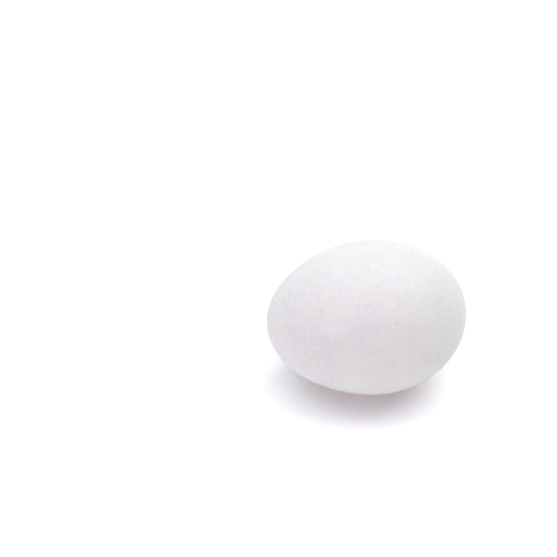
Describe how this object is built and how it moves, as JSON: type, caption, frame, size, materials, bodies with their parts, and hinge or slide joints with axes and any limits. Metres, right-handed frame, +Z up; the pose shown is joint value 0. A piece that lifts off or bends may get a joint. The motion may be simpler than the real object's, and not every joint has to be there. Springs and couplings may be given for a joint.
{
  "type": "chicken egg",
  "caption": "Whole white hen's egg in its shell, lying on its side on a small flat spot, pointed end dipping slightly.",
  "frame": {"origin": "on the surface that the egg lies on, under the middle of its outline", "axes": "+X towards the blunt end along the egg's length, +Z up, +Y across the egg, away from the picture's camera"},
  "size_m": [0.0568, 0.0442, 0.044],
  "materials": {
    "shell": "matt, chalky white eggshell with fine pores, and a faint low sheen"
  },
  "bodies": {
    "root": {"egg": "shell"}
  },
  "joints": []
}
